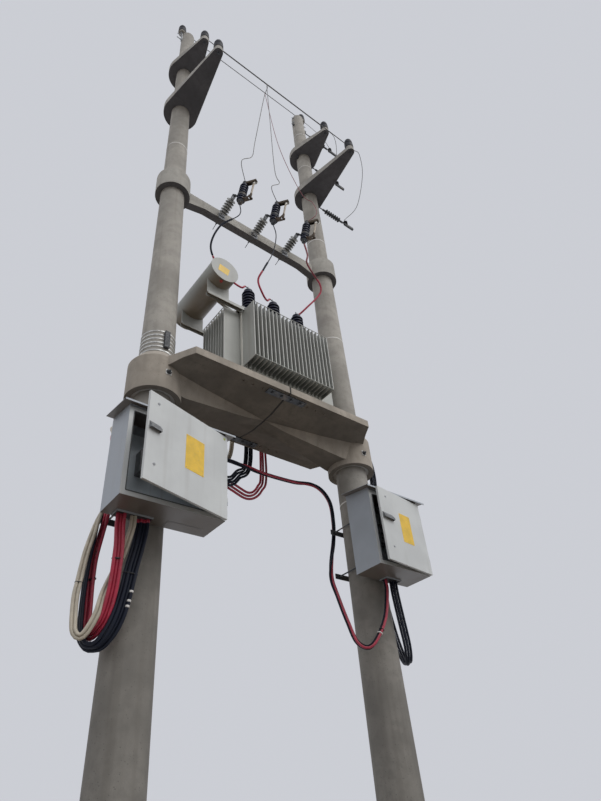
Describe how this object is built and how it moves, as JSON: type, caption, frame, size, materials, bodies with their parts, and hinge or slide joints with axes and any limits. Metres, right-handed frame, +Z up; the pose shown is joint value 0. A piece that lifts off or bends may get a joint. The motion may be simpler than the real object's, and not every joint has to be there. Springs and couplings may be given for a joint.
{
  "type": "two-pole transformer substation",
  "caption": "Two concrete poles carrying a platform with a fin-walled transformer, a crossarm with fused cut-outs, line brackets with insulators and two control cabinets.",
  "frame": {"origin": "centre of the left pole where it meets the ground", "axes": "+X to the right pole, -Y the side of the cabinets and brackets, +Z up along the poles"},
  "size_m": [3.7552, 1.6724, 13.23],
  "materials": {
    "pole_concrete": "spun concrete",
    "platform_concrete": "cast concrete",
    "beam_concrete": "cast concrete",
    "bracket_concrete": "cast concrete",
    "galvanised_steel": "hot-dip galvanised",
    "dark_porcelain": "glazed",
    "dark_polymer": "silicone",
    "grey_polymer": "silicone",
    "blue_porcelain": "glazed",
    "fuse_fibre": "varnished fibre",
    "tank_paint": "satin paint",
    "cabinet_paint": "satin powder coat",
    "door_paint": "satin powder coat",
    "panel_paint": "satin powder coat",
    "red_sheath": "extruded",
    "beige_sheath": "extruded",
    "black_sheath": "extruded",
    "bare_conductor": "weathered"
  },
  "bodies": {
    "root": {"pole_left": "pole_concrete", "pole_right": "pole_concrete", "platform_left": "platform_concrete", "platform_right": "platform_concrete", "splice_plates": "galvanised_steel", "crossarm": "beam_concrete", "bracket_left_lower": "bracket_concrete", "bracket_left_upper": "bracket_concrete", "bracket_right_lower": "bracket_concrete", "bracket_right_upper": "bracket_concrete", "ridge_pins": "galvanised_steel", "pin_insulators_left": "dark_porcelain", "pin_insulators_right": "dark_porcelain", "strain_insulators": "dark_polymer", "extender_1": "grey_polymer", "extender_2": "grey_polymer", "extender_3": "grey_polymer", "cutout_body_1": "blue_porcelain", "cutout_body_2": "blue_porcelain", "cutout_body_3": "blue_porcelain", "tank": "tank_paint", "tank_cover": "tank_paint", "fins_front": "tank_paint", "fins_back": "tank_paint", "fins_left": "tank_paint", "fins_right": "tank_paint", "base_rails": "tank_paint", "conservator": "tank_paint", "conservator_supports": "tank_paint", "hv_bushings": "blue_porcelain", "lv_bushings": "blue_porcelain", "cabinet_left_body": "cabinet_paint", "cabinet_left_roof": "cabinet_paint", "cabinet_left_hinges": "cabinet_paint", "cabinet_left_panel": "panel_paint", "cabinet_left_clamps": "galvanised_steel", "cabinet_right_body": "cabinet_paint", "cabinet_right_roof": "cabinet_paint", "cabinet_right_hinges": "cabinet_paint", "cabinet_right_panel": "panel_paint", "cabinet_right_clamps": "galvanised_steel", "pole_bands": "galvanised_steel", "loop_cables_red": "red_sheath", "loop_cables_beige": "beige_sheath", "loop_cables_black": "black_sheath", "link_cables": "black_sheath", "right_cables": "black_sheath", "hv_leads": "bare_conductor", "droppers": "bare_conductor", "jumpers": "bare_conductor", "line_wires": "bare_conductor"},
    "cabinet_left_door": {"cabinet_left_door": "door_paint"},
    "cabinet_right_door": {"cabinet_right_door": "door_paint"},
    "fuse_tube_1": {"fuse_tube_1": "fuse_fibre"},
    "fuse_tube_2": {"fuse_tube_2": "fuse_fibre"},
    "fuse_tube_3": {"fuse_tube_3": "fuse_fibre"}
  },
  "joints": [
    {"name": "left_door_hinge", "type": "hinge", "parent": "root", "child": "cabinet_left_door", "pos_m": [0.435, -0.51995, 4.2], "axis": [0, 0, 1], "range_deg": [-16, 94]},
    {"name": "right_door_hinge", "type": "hinge", "parent": "root", "child": "cabinet_right_door", "pos_m": [2.685, -0.51995, 4.2], "axis": [0, 0, 1], "range_deg": [-7, 103]},
    {"name": "fuse_1_trunnion", "type": "hinge", "parent": "root", "child": "fuse_tube_1", "pos_m": [0.77006, -0.52652, 8.2565], "axis": [0.866, 0.5, 0], "range_deg": [0, 150]},
    {"name": "fuse_2_trunnion", "type": "hinge", "parent": "root", "child": "fuse_tube_2", "pos_m": [1.27006, -0.52652, 8.2565], "axis": [0.866, 0.5, 0], "range_deg": [0, 150]},
    {"name": "fuse_3_trunnion", "type": "hinge", "parent": "root", "child": "fuse_tube_3", "pos_m": [1.77006, -0.52652, 8.2565], "axis": [0.866, 0.5, 0], "range_deg": [0, 150]}
  ]
}
